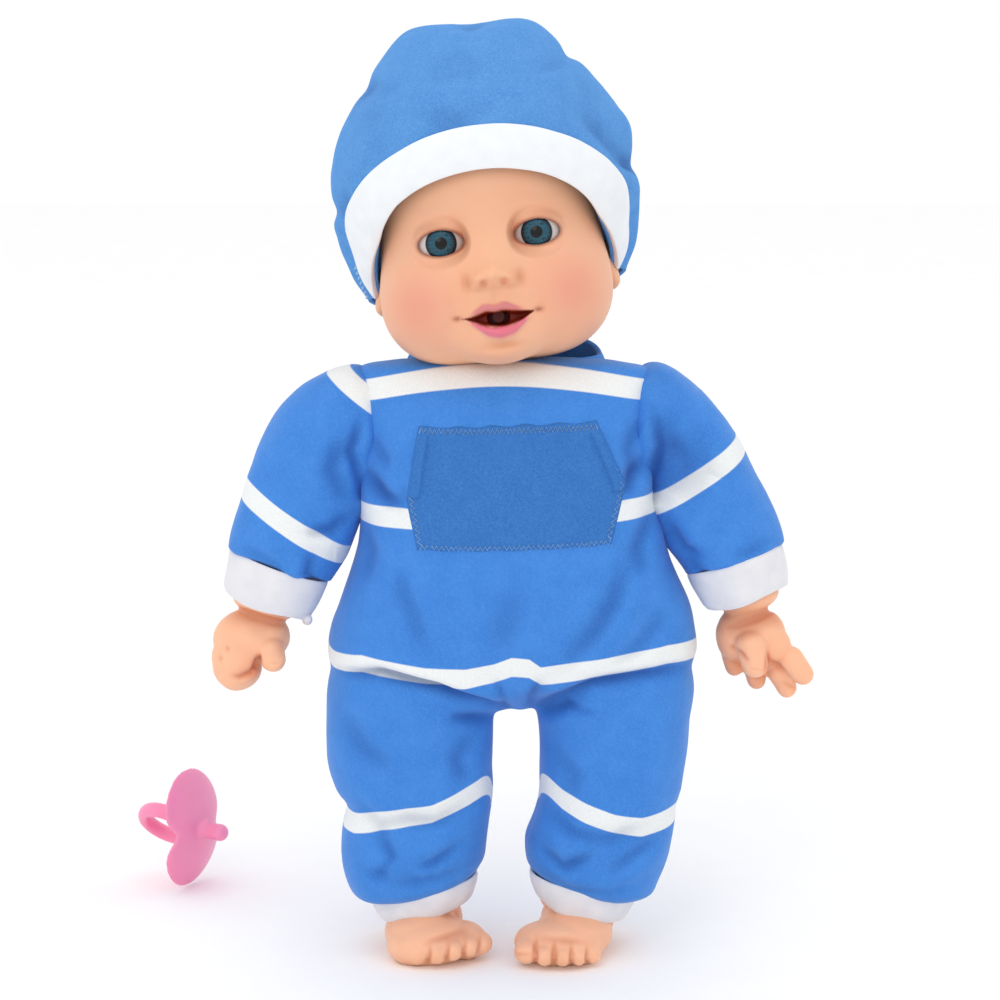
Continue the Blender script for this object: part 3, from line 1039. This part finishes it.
# sleeves: set in at the armhole, fuller at the elbow, gathered to the cuff
sleeveSettings = {
    "right": [(-41, 3, 196, 15, 16), (-49, 3, 194.5, 18.4, 18.5), (-56, 3, 190.5, 20.2, 19.6),
              (-63.5, 2.5, 182, 21.2, 19.6),
              (-69.4, 1, 169, 21.4, 19.2), (-74, 0, 157, 21.2, 18.8), (-78, -1, 147, 19.8, 17.8),
              (-80.8, -2, 139, 18.4, 16.8)],
    "left": [(41, 3, 196, 15, 16), (49, 3, 194.5, 18.4, 18.5), (54, 3, 189.5, 19.4, 19.4),
             (61.5, 2.5, 181, 19.6, 19.4),
             (68.4, 1, 168.5, 19.8, 19.0), (74.4, 0, 157, 19.8, 18.5), (79, -1, 147.5, 18.8, 17.6),
             (81.4, -2, 141, 17.8, 16.6)],
}
sleeveFolds = {
    "right": [([(-50, 196), (-53, 184), (-50, 172), (-49, 164)], 2.4, 1.8, 0.9),
              ([(-56, 190), (-60, 178), (-55, 166)], 3.6, 1.1, 0.7),
              ([(-54, 161), (-60, 156), (-70, 156)], 2.8, 1.3, 0.8),
              ([(-66, 133), (-69, 141), (-67, 149)], 2.4, 1.3, 0.8),
              ([(-92, 150), (-84, 147), (-76, 142)], 2.6, 0.7, 0.4)],
    "left": [([(51, 198), (53, 186), (50, 174), (51, 163)], 2.4, 1.8, -0.9),
             ([(58, 192), (62, 180), (57, 168)], 3.6, 1.0, -0.6),
             ([(57, 158), (62, 150), (70, 146)], 2.6, 1.4, 0.9),
             ([(62, 146), (70, 140), (80, 140)], 2.4, 1.0, 0.7),
             ([(92, 152), (84, 149), (76, 146)], 2.6, 0.7, 0.4)],
}


def makeSleeve(side):
    sign = -1 if side == "right" else 1
    piece = shapeAlong(side + "Sleeve", sleeveSettings[side], 150, 150, (8, 3.2), 2.1)
    co = getPoints(piece)
    normals = getNormals(piece)
    move = ripple(co, 17.0, 0.9, 21 + sign) + ripple(co, 8.0, 0.25, 23 + sign)
    creased = np.zeros(len(co))
    for route, width, depth, ridge in sleeveFolds[side]:
        creased += fold(co, normals, route, width, depth, -1, ridge)
        creased += fold(co, normals, route, width * 1.2, depth * 0.8, 1, ridge)
    setFloat(piece, "crease", np.clip(-creased / 2.2, 0, 0.8))
    move += creased
    seam = np.exp(-((co[:, 1] - 6) / 0.6) ** 2) * (np.abs(normals[:, 1]) < 0.6) * (co[:, 0] * sign < 74)
    move -= 0.5 * seam * (normals[:, 0] * sign < 0)
    co += normals * (move * 1.35)[:, None]
    x, z = co[:, 0], co[:, 2]
    if side == "right":
        stripes = [np.abs(0.562 * x + 0.827 * z - 88.6), np.abs(0.60 * x + 0.80 * z - 133.2)]
    else:
        stripes = [np.abs(-0.549 * x + 0.836 * z - 108.8)]
    setFloat(piece, "stripe", np.min(stripes, axis=0) - 3.5)
    setPoints(piece, co)
    wear(piece, knit)
    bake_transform(piece)
    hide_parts(side + "_sleeve", side + "_arm_stuffing")


def makeCuff(name, stations, wall, nodes, body, roll, tilt=(0, 0)):
    segments = 140
    piece, across, rise = domeGrid(name, segments, 16)
    turn = across * 2 * math.pi
    low, high = np.array(stations[0], float), np.array(stations[1], float)
    row = low + (high - low) * rise[:, None]
    axis = (high - low)[:3] / np.linalg.norm((high - low)[:3])
    depth = np.array([0, 1.0, 0]) - axis * axis[1]
    depth /= np.linalg.norm(depth)
    width = np.cross(depth, axis)
    ring = width * (np.cos(turn) * row[:, 3])[:, None] + depth * (np.sin(turn) * row[:, 4])[:, None]
    co = row[:, :3] + ring
    outward = ring / np.linalg.norm(ring, axis=1)[:, None]
    belly = 0.5 * np.sin(rise * math.pi) - roll * (1 - softStep(rise, 0, 0.14)) - 0.6 * softStep(rise, 0.9,
                                                                                                 1.0)
    co += outward * (belly + ripple(co, 9.0, 0.75, len(name)))[:, None]
    drop = tilt[0] * np.cos(turn) + tilt[1] * np.sin(turn)
    co += np.outer(drop * (1 - rise) + 0.55 * np.sin(3 * turn + 1.0) * (1 - rise), -axis)
    setPoints(piece, co)
    weld(piece)
    useModifier(piece, "SOLIDIFY", thickness=wall * mm, offset=-1.0)
    useModifier(piece, "BEVEL", width=0.5 * mm, segments=3, limit_method="ANGLE")
    smooth(piece)
    wear(piece, cuffWhite)
    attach(piece, body)
    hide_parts(*nodes)
    return piece


for side in ("right", "left"):
    makeSleeve(side)
cuffSettings = {
    "rightSleeveCuff": ((-85.0, -2.9, 126.6, 15.6, 14.6), (-79.6, -1.8, 141.6, 18.4, 16.6),
                        "right_sleeve_cuff", "right_arm"),
    "leftSleeveCuff": ((85.4, -2.9, 129.6, 15.2, 14.4), (80.4, -1.8, 144.2, 18.0, 16.4), "left_sleeve_cuff",
                       "left_arm"),
    "rightAnkleCuff": ((-29.8, -1, 15.2, 17.0, 16.0), (-30.6, -1.6, 27.5, 20.4, 18.6), "right_ankle_cuff",
                       "right_leg"),
    "leftAnkleCuff": ((27.0, -1, 15.4, 16.8, 16.0), (28.4, -1.6, 27.5, 20.2, 18.6), "left_ankle_cuff",
                      "left_leg"),
}
for name, (low, high, node, body) in cuffSettings.items():
    lean = (-1.9, -0.6) if name == "rightAnkleCuff" else (2.4, -0.6) if name == "leftAnkleCuff" else (0.0,
                                                                                                      0.0)
    makeCuff(name, (low, high), 1.5, [node], body, 0.5, lean)
rolledEnd = shapeAlong("rightCuffRolledEnd", [(-69.6, -8.5, 123.6, 1.5, 1.5), (-70.2, -4.5, 121.6, 1.8, 1.8),
                                             (-70.4, 0.5, 121.4, 1.5, 1.5)], 28, 20, (1.2, 1.2), 2.0,
                       (0, 0, 1))
wear(rolledEnd, cuffWhite)
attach(rolledEnd, "right_arm")

# neckband: a folded strip of the same knit standing round the neck
neckband, across, rise = domeGrid("collarBand", 150, 16)
turn = across * 2 * math.pi
angleX, angleY = np.sin(turn), -np.cos(turn)
behind = softStep(angleY, -0.2, 0.8)
co = np.stack([angleX * (34.5 - 2.0 * rise), 8 + angleY * (20.0 - 1.5 * rise),
               206.5 + rise * (8.4 + 4.6 * behind)], axis=1)
co += np.stack([angleX, angleY, np.zeros(len(turn))], axis=1) * (0.9 * np.sin(rise * math.pi))[:, None]
setPoints(neckband, co)
weld(neckband)
useModifier(neckband, "SOLIDIFY", thickness=1.8 * mm, offset=0.0)
useModifier(neckband, "BEVEL", width=0.6 * mm, segments=3, limit_method="ANGLE")
setFloat(neckband, "stripe", np.full(len(neckband.data.vertices), 9.0))
smooth(neckband)
wear(neckband, knit)
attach(neckband, "torso")
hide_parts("neckband")

# kangaroo pocket: fleece patch lying on the belly, zigzag sewn along its top, bottom and lower sides
pocketSettings = {"outline": [(-30, 194.5), (31, 196.3), (41.2, 174.5), (36.2, 153.6), (-30.5, 152),
                              (-34.2, 169.5)],
                  "proud": 1.5, "columns": 110, "rows": 66}


def beltPoint(u, v):  # u across, v up: the patch's six-sided outline filled evenly
    o = pocketSettings["outline"]
    leftX = np.interp(v, [0, 0.42, 1], [o[4][0], o[5][0], o[0][0]])
    leftZ = np.interp(v, [0, 0.42, 1], [o[4][1], o[5][1], o[0][1]])
    rightX = np.interp(v, [0, 0.5, 1], [o[3][0], o[2][0], o[1][0]])
    rightZ = np.interp(v, [0, 0.5, 1], [o[3][1], o[2][1], o[1][1]])
    return leftX + (rightX - leftX) * u, leftZ + (rightZ - leftZ) * u


def ontoCloth(xs, zs, proud):  # lands points on the front of the torso cloth
    landed = []
    for px, pz in zip(xs, zs):
        hit, place, normal, _ = torsoCloth.ray_cast(Vector((px, -80, pz)) * mm, Vector((0, 1, 0)))
        landed.append(list(place / mm) if hit else [px, -34, pz])
    landed = np.array(landed)
    landed[:, 1] -= proud
    return landed


bpy.context.view_layer.update()
pocket, across, rise = domeGrid("kangarooPocket", pocketSettings["columns"], pocketSettings["rows"])
px, pz = beltPoint(across, rise)
landed = ontoCloth(px, pz, 0.0)
order = np.lexsort((np.round(across, 5), np.round(rise, 5)))
columns = pocketSettings["columns"] + 1
depthGrid = landed[order, 1].reshape(-1, columns)
for _ in range(10):  # the fleece is stiffer than the knit, so it bridges small dips
    padded = np.pad(depthGrid, 1, mode="edge")
    depthGrid = (padded[:-2, 1:-1] + padded[2:, 1:-1] + padded[1:-1, :-2] + padded[1:-1, 2:] + depthGrid) / 5
landed[order, 1] = depthGrid.ravel()
edgeDistance = np.minimum(np.minimum(across, 1 - across) * 68, np.minimum(rise, 1 - rise) * 43)
openSide = ((rise > 0.45) & (np.minimum(across, 1 - across) * 68 < 4)) * softStep(0.97 - rise, 0, 0.1)
landed[:, 1] -= pocketSettings["proud"] * softStep(edgeDistance, -0.2, 1.6) - 0.3 + 1.2 * openSide
landed[:, 1] += 0.4 * np.exp(-((edgeDistance - 1.7) / 0.6) ** 2) * (openSide < 0.1)
landed[:, 2] += 0.35 * np.sin(across * 34) * (np.minimum(rise, 1 - rise) < 0.001)
setPoints(pocket, landed)
activate(pocket)
bpy.ops.object.mode_set(mode="EDIT")
bpy.ops.mesh.select_all(action="SELECT")
bpy.ops.mesh.normals_make_consistent(inside=False)
bpy.ops.object.mode_set(mode="OBJECT")
if pocket.data.polygons[0].normal.y > 0:
    pocket.data.flip_normals()
useModifier(pocket, "SOLIDIFY", thickness=1.5 * mm, offset=-1.0)
smooth(pocket)
wear(pocket, pocketFleece)
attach(pocket, "torso")
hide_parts("kangaroo_pocket")


def zigzag(route, pitch, wide, seed):  # three-step stitch as one thin thread along a route of u, v
    route = np.array(route, float)
    steps = np.linalg.norm(np.diff(route, axis=0) * np.array([68, 43]), axis=1)
    knots = np.concatenate([[0], np.cumsum(steps)])
    count = int(knots[-1] / pitch * 2)
    where = np.linspace(0, knots[-1], count + 1)
    u, v = np.interp(where, knots, route[:, 0]), np.interp(where, knots, route[:, 1])
    across = np.gradient(u) * 68, np.gradient(v) * 43
    size = np.hypot(*across)
    swing = np.where(np.arange(count + 1) % 2, wide,
                     -wide) * (1 + 0.25 * np.sin(np.arange(count + 1) * 1.7 + seed))
    px, pz = beltPoint(u, v)
    return px - across[1] / size * swing, pz + across[0] / size * swing


bpy.context.view_layer.update()
threads = []
for seed, route in enumerate([[(0.01, 0.965), (0.99, 0.955)], [(0.02, 0.035), (0.99, 0.03)],
                              [(0.022, 0.05), (0.025, 0.44)], [(0.975, 0.06), (0.985, 0.5), (1.0, 0.62)]]):
    px, pz = zigzag(route, 1.65 if seed < 2 else 2.2, 0.85, seed)
    data = bpy.data.curves.new("zigzag", "CURVE")
    data.dimensions = "3D"
    data.bevel_depth = 0.16 * mm
    data.bevel_resolution = 1
    line = data.splines.new("POLY")
    line.points.add(len(px) - 1)
    for k, (sx, sz) in enumerate(zip(px, pz)):
        hit, place, normal, _ = pocket.ray_cast(Vector((sx, -80, sz)) * mm, Vector((0, 1, 0)))
        base = place if hit else ontoCloth([sx], [sz], 0.0)[0] * mm
        line.points[k].co = (sx * mm, base[1] - (0.14 + 0.10 * math.sin(k * 2.3)) * mm, sz * mm, 1)
    threadPiece = bpy.data.objects.new("zigzag", data)
    scene.collection.objects.link(threadPiece)
    activate(threadPiece)
    bpy.ops.object.convert(target="MESH")
    threads.append(bpy.context.object)
pocketStitches = joinPieces(threads, "pocketZigzag")
smooth(pocketStitches)
wear(pocketStitches, thread)
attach(pocketStitches, "torso")
print("sleeves, cuffs and pocket made")


def limb(rows, up=(0, 1, 0)):  # finger or toe: rows of x, y, z, radius
    return shapeAlong("limb", [(x, y, z, r, r * 0.94) for x, y, z, r in rows], 28, 26,
                      (rows[0][3], rows[-1][3] * 1.05), 2.0, up)


def finishHand(parts, name, creases, shades, node, body, voxel=0.55, passes=7):
    hand = joinPieces(parts, name)
    skinOver(hand, voxel, passes, 0.55)
    co = getPoints(hand)
    normals = getNormals(hand)
    move = ripple(co, 7.0, 0.22, len(name))
    for route, width, depth, side, ridge in creases:
        move += fold(co, normals, route, width, depth, side, ridge)
    co += normals * move[:, None]
    co[:, 2] = np.maximum(co[:, 2], 0.0)
    setPoints(hand, co)
    rgb = np.tile(np.array(linear("#f6bd9a")[:3]), (len(co), 1))
    for place, size, weight, colour in shades:
        w = np.clip(bump(co, place, size, weight), 0, 1)[:, None]
        rgb = rgb * (1 - w) + np.array(linear(colour)[:3]) * w
    deep = np.clip(-move / 1.4, 0, 0.55)[:, None]
    rgb = rgb * (1 - deep) + np.array(linear("#c9744f")[:3]) * deep
    setColour(hand, "tint", rgb)
    setFloat(hand, "gloss", np.full(len(co), 0.1))
    wear(hand, vinyl)
    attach(hand, body)
    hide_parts(node)
    return hand


# right hand: a soft fist with the thumb pointing down on the inner side
fist = [egg("palm", (-91.3, -4, 115.5), (12.6, 9.2, 10.2), (0, -14, 0)),
        egg("curl", (-95.0, -5.5, 105.4), (8.8, 8.6, 9.0), (0, 20, 0)),
        egg("heel", (-84.5, -3.5, 115.5), (8.0, 8.2, 8.2)), egg("knuckles", (-100, -2, 108), (4.4, 8, 7)),
        limb([(-84.0, -7.5, 116, 6.0), (-82.6, -10.5, 111, 5.0), (-81.4, -11.8, 107, 4.2),
              (-80.8, -12.0, 104.6, 3.4)]),
        shapeAlong("wrist", [(-80, -2, 141, 10, 10), (-84.6, -2.6, 130, 10.8, 10.2),
                             (-88, -3.4, 121.5, 11.4, 9.6)], 40, 24, (3, 6))]
finishHand(fist, "rightHand", [
    ([(-96, 127.2), (-88, 125.0), (-80, 122.2), (-75, 121)], 1.5, 1.3, 0, 0.4),
    ([(-86.8, 108.6), (-89.6, 104.6), (-93.6, 103.2), (-96, 103.8)], 1.0, 1.2, -1, 0.3),
    ([(-86.5, 112), (-87.6, 107), (-86.5, 103)], 1.0, 1.3, -1, 0.0),
    ([(-98.6, 112.8), (-97.2, 113.0)], 1.0, 0.5, -1, 0.0), ([(-101.6, 109.0), (-99.6, 109.8)], 1.0, 0.5, -1,
                                                            0.0),
    ([(-101, 104), (-95, 101.5), (-90, 100)], 0.9, 0.6, 1, 0.2),
                               ([(-101, 109), (-95, 106.5), (-90, 105)], 0.9, 0.6, 1, 0.2),
    ([(-84.8, 109.5), (-79, 108.5)], 0.7, 0.25, -1, 0.0)],
    [((-86, -6, 124.5), (14, 14, 3.2), 0.55, "#d28a62"), ((-90, -12, 104.5), (5, 6, 2.6), 0.6, "#d5764f"),
     ((-80.8, -12, 104), (4, 4, 4), 0.35, "#eebb8b"), ((-97, -6, 98), (8, 8, 4), 0.25, "#eeb58c")],
    "right_hand", "right_arm")

# left hand: open, thumb in front of the palm and four fingers behind it
openHand = [egg("palm", (87.2, -4, 117), (11.8, 8.4, 10.6), (0, 16, 0)),
            egg("heel", (92, -5, 112), (9.0, 7.2, 8.4)),
            egg("inner", (80.6, -3, 116), (6.4, 7.4, 9.2)),
            limb([(84.4, -10, 119, 6.0), (86.2, -13.6, 112.5, 5.2), (87.8, -15.4, 106.5, 4.3),
                  (88.6, -16, 103.6, 3.7)]),
            limb([(79.6, -2, 112.5, 4.2), (80.6, -2.5, 106, 3.4), (82.2, -3, 101, 3.1)]),
            limb([(87, -4, 108, 4.4), (88.6, -5, 101, 3.5), (89.2, -5.5, 96.6, 3.2)]),
            limb([(94.4, -6, 107, 4.8), (98.4, -7.5, 100, 3.9), (100.8, -8.5, 94.6, 3.3)]),
            limb([(97.6, -7.5, 112, 5.2), (102.4, -10, 106, 4.5), (107.2, -12, 100.8, 3.2)]),
            shapeAlong("wrist", [(80, -2, 143, 10, 10), (85.2, -2.6, 132, 10.4, 10),
                                 (88.4, -3.4, 124, 11.2, 9.4)], 40, 24, (3, 6))]
finishHand(openHand, "leftHand", [
    ([(100.5, 127.6), (92, 125.2), (84, 122.6), (76, 119.5)], 1.5, 1.2, 0, -0.4),
    ([(91.4, 113), (91.6, 109), (90.6, 105.5)], 1.0, 0.9, -1, 0.0),
    ([(91.2, 109.6), (95.2, 107.2), (98.6, 104)], 1.0, 0.8, -1, 0.2),
    ([(78.4, 113.6), (82, 112.6), (84.6, 110)], 1.0, 0.9, -1, 0.0),
    ([(78, 106.5), (83, 106.5)], 0.7, 0.4, 0, 0.0), ([(86, 102), (92, 102)], 0.7, 0.4, 0, 0.0),
    ([(97, 101), (103, 98)], 0.7, 0.4, 0, 0.0), ([(84.6, 108), (90.4, 107)], 0.6, 0.25, -1, 0.0)],
    [((86, -4, 124.5), (14, 14, 3.4), 0.6, "#cf865f"), ((76, -2, 114), (4, 8, 8), 0.55, "#cf8f70"),
     ((81, -3, 104), (4, 6, 6), 0.6, "#cf8358"), ((89, -4, 99), (4.5, 6, 5), 0.6, "#d58a62"),
     ((98.5, -6, 99), (4.5, 4, 5.5), 0.45, "#cc8052"), ((92, -8, 107), (3.4, 8, 3), 0.5, "#cf7a52"),
     ((107, -12, 100.6), (4, 5, 4), 0.35, "#efb985")],
    "left_hand", "left_arm")


# feet: chubby, flat soled, five toes each
def makeFoot(side, ankle, ballForms, toes, creases, shades):
    ax, ay = ankle
    forms = [shapeAlong("ankle", [(ax, ay - 1, 31, 13.2, 13), (ax, ay - 1, 20, 13.8, 13.6),
                                  (ax, ay - 2, 11, 14.6, 14)], 48, 26, (3, 8)),
             egg("footHeel", (ax, ay + 4, 8.6), (13.4, 13, 11))]
    forms += [egg("footBall", place, size, turn) for place, size, turn in ballForms]
    forms += [limb(rows, (0, 0, 1)) for rows in toes]
    for form in forms:
        co = getPoints(form)
        co[:, 2] = np.maximum(co[:, 2], 0.4)
        setPoints(form, co)
    foot = finishHand(forms, side + "Foot", creases, shades, side + "_foot", side + "_leg", 0.6, 5)
    co = getPoints(foot)
    co[:, 2] = np.where(co[:, 2] < 1.0, np.maximum(co[:, 2] - 0.45, 0.0), co[:, 2])
    setPoints(foot, co)
    smooth(foot)


def toeRows(tipX, tipY, rootX, rootY, high, radius):
    return [(rootX, rootY, high + 1.4, radius * 0.92), ((tipX + rootX) / 2, (tipY + rootY) / 2, high + 1.0,
                                                        radius),
            (tipX, tipY, high - radius * 0.12, radius * 0.98)]


makeFoot("right", (-29, 0),
         [((-30, -9, 8.2), (13.6, 16, 9.6), (0, 0, 0)), ((-25.5, -15.5, 7.0), (15, 11.5, 8.4), (0, 0, 22)),
          ((-33, -16, 5.6), (9.6, 11, 6.8), (0, 0, -10)), ((-14.6, -14, 6.6), (7.4, 9, 6.6), (0, 0, 30))],
         [toeRows(-31.0, -28.0, -31.5, -19, 3.9, 4.1), toeRows(-24.0, -29.4, -26.0, -19, 4.7, 3.9),
          toeRows(-17.8, -28.4, -20.4, -19, 5.6, 3.9), toeRows(-12.0, -25.6, -15.6, -16, 6.2, 4.0),
          toeRows(-7.2, -20.8, -12.6, -12, 5.4, 4.6)],
         [([(-26.6, 9.0), (-27.4, 5.0), (-27.8, 0.5)], 0.75, 0.9, -1, 0.0),
          ([(-20.4, 9.8), (-20.8, 6), (-21, 2)], 0.75, 0.9, -1, 0.0),
          ([(-14.4, 10.4), (-14.8, 7), (-15.2, 2)], 0.75, 0.9, -1, 0.0),
          ([(-8.8, 10.6), (-9.4, 7), (-10.4, 3)], 0.75, 0.8, -1, 0.0),
          ([(-30, 8.6), (-26, 10.6), (-19, 11.8), (-12, 12.2)], 1.2, 0.6, -1, 0.2)],
         [((-28, -4, 17), (16, 18, 3.4), 0.35, "#d9916c"), ((-22, -20, 10.6), (12, 8, 1.6), 0.30, "#d98a66"),
          ((-20, -30, 3.5), (14, 5, 2.6), 0.35, "#ecb488")])
makeFoot("left", (26, 0),
         [((24.6, -9, 8.2), (13.8, 16, 9.8), (0, 0, 0)), ((18.6, -17, 6.8), (15.8, 11, 8.2), (0, 0, -4)),
          ((26.6, -15, 6.2), (8.8, 12, 7.4), (0, 0, 0))],
         [toeRows(6.6, -28.6, 8.4, -18, 4.9, 4.7), toeRows(13.7, -30.6, 14.2, -20, 4.5, 3.9),
          toeRows(20.0, -30.8, 20.0, -20, 4.3, 3.7), toeRows(25.9, -29.4, 25.4, -19, 4.0, 3.4),
          toeRows(31.0, -26.8, 29.8, -17, 3.7, 3.2)],
         [([(10.4, 11.2), (10.4, 6), (10.2, 1.0)], 0.8, 1.0, -1, 0.0),
          ([(17.0, 10.6), (17.0, 6), (16.9, 0.8)], 0.8, 1.0, -1, 0.0),
          ([(23.1, 9.6), (23.1, 5), (23.0, 0.6)], 0.75, 0.95, -1, 0.0),
          ([(28.6, 8.4), (28.6, 5), (28.6, 0.6)], 0.7, 0.9, -1, 0.0),
          ([(2.6, 5.6), (6.6, 6.4), (10, 6.0)], 0.8, 0.45, -1, 0.2),
          ([(11, 11.6), (18, 11.2), (25, 10.2), (30, 8.6)], 1.2, 0.5, -1, 0.2)],
         [((26, -4, 17), (16, 18, 3.4), 0.35, "#d9916c"), ((19, -22, 10.0), (12, 8, 1.5), 0.25, "#d98a66"),
          ((18, -31, 3.5), (16, 5, 2.8), 0.35, "#ecb488")])
print("hands and feet made")

# pacifier: one pink moulding, its dished shield, stub nipple and ring
pacifierSettings = {"place": (-117.0, 62.0, 23.5), "turn": 62.0, "halfWide": 18.5, "halfTall": 23.0,
                    "thick": 2.5,
                    "ringRadius": 9.6, "ringWire": 2.4}


def makePacifier():
    shield = newSphere("shield", 128, 48)
    unit = getPoints(shield) * mm
    polar = np.arctan2(unit[:, 1], unit[:, 0])
    outward = np.hypot(unit[:, 0], unit[:, 1])
    side = np.sign(unit[:, 2])
    waist = 1 - 0.30 * np.exp(-((np.abs(polar) - math.pi / 2) / 0.30) ** 2)  # a dip at the top and bottom
    wide = pacifierSettings["halfTall"] * np.abs(np.cos(polar)) ** 2
    wide = wide + pacifierSettings["halfWide"] * np.abs(np.sin(polar)) ** 2
    reach = outward ** 0.8 * wide * waist
    rim = (1 - np.clip(outward, 0, 1) ** 6) ** 0.5
    depth = side * pacifierSettings["thick"] / 2 * np.maximum(rim, 0.0)
    dish = 5.2 * (reach / 21) ** 2
    co = np.stack([reach * np.sin(polar), depth + dish, reach * np.cos(polar)], axis=1)
    setPoints(shield, co)
    recalcNormals(shield)
    nipple = shapeAlong("nipple", [(0, 3, 0, 6.0, 6.0), (0, -0.5, 0, 4.4, 4.4), (0, -4, 0, 3.2, 3.2),
                                   (0, -9, 0, 3.3, 3.3),
                                   (0, -12.3, 0, 3.2, 3.2)], 48, 40, (1, 3.2), 2.0, (0, 0, 1))
    boss = shapeAlong("boss", [(0, 0, 0, 7.5, 7.5), (0, 4, 0, 6.2, 6.2), (0, 7.2, 0, 5.0, 5.0)], 48, 24,
                      (2, 2), 2.0, (0, 0, 1))
    deselect()
    bpy.ops.mesh.primitive_torus_add(major_segments=96, minor_segments=28,
                                     major_radius=pacifierSettings["ringRadius"] * mm,
                                     minor_radius=pacifierSettings["ringWire"] * mm)
    ring = named("ring")
    tilt = np.array(Euler((0, math.radians(48), 0)).to_matrix())
    co = getPoints(ring)
    co[:, 2] *= 1.25
    setPoints(ring, co @ tilt.T + np.array([0, 15.2, 0]))
    pacifier = joinPieces([shield, nipple, boss, ring], "pacifier")
    skinOver(pacifier, 0.5, 5)
    angle = math.radians(pacifierSettings["turn"])
    spin = np.array([[math.cos(angle), -math.sin(angle), 0], [math.sin(angle), math.cos(angle), 0],
                     [0, 0, 1]])
    co = getPoints(pacifier) @ spin.T + np.array(pacifierSettings["place"])
    co[:, 2] = np.maximum(co[:, 2], 0.05)
    setPoints(pacifier, co)
    wear(pacifier, pacifierPlastic)
    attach(pacifier, "pacifier")
    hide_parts("pacifier")
    return pacifier


# the CAD node is called pacifier too, so its object steps aside by name only in this file's lists
makePacifier().name = "pacifierMoulding"
print("pacifier made")

# pale floor and soft studio light
deselect()
bpy.ops.mesh.primitive_plane_add(size=6.0, location=(0, 0, 0))
floor = named("floor")
floorMaterial, tree, shader, place = startMaterial("palePaper")
grain = addNode(tree, "TexNoise", {"Scale": 40.0}, {0: place})
tree.links.new(mixColour(tree, grain.outputs["Fac"], "#fbfbfb", "#ffffff"), shader.inputs["Base Color"])
shader.inputs["Roughness"].default_value = 0.9
wear(floor, floorMaterial)

world = bpy.data.worlds.new("studio")
scene.world = world
world.use_nodes = True
world.node_tree.nodes["Background"].inputs[0].default_value = (1, 1, 1, 1)
world.node_tree.nodes["Background"].inputs[1].default_value = 1.0
lightSettings = [("key", (-0.45, -1.2, 1.1), 0.7, 2.6), ("top", (0.0, -0.1, 1.5), 0.9, 1.8)]
for name, spot, size, power in lightSettings:
    light = bpy.data.lights.new(name, "AREA")
    light.size = size
    light.energy = power
    lamp = bpy.data.objects.new(name, light)
    scene.collection.objects.link(lamp)
    lamp.location = spot
    lamp.rotation_euler = (Vector((0, 0, 0.16)) - Vector(spot)).to_track_quat("-Z", "Y").to_euler()
scene.view_settings.view_transform = "Standard"

print("scene ready")
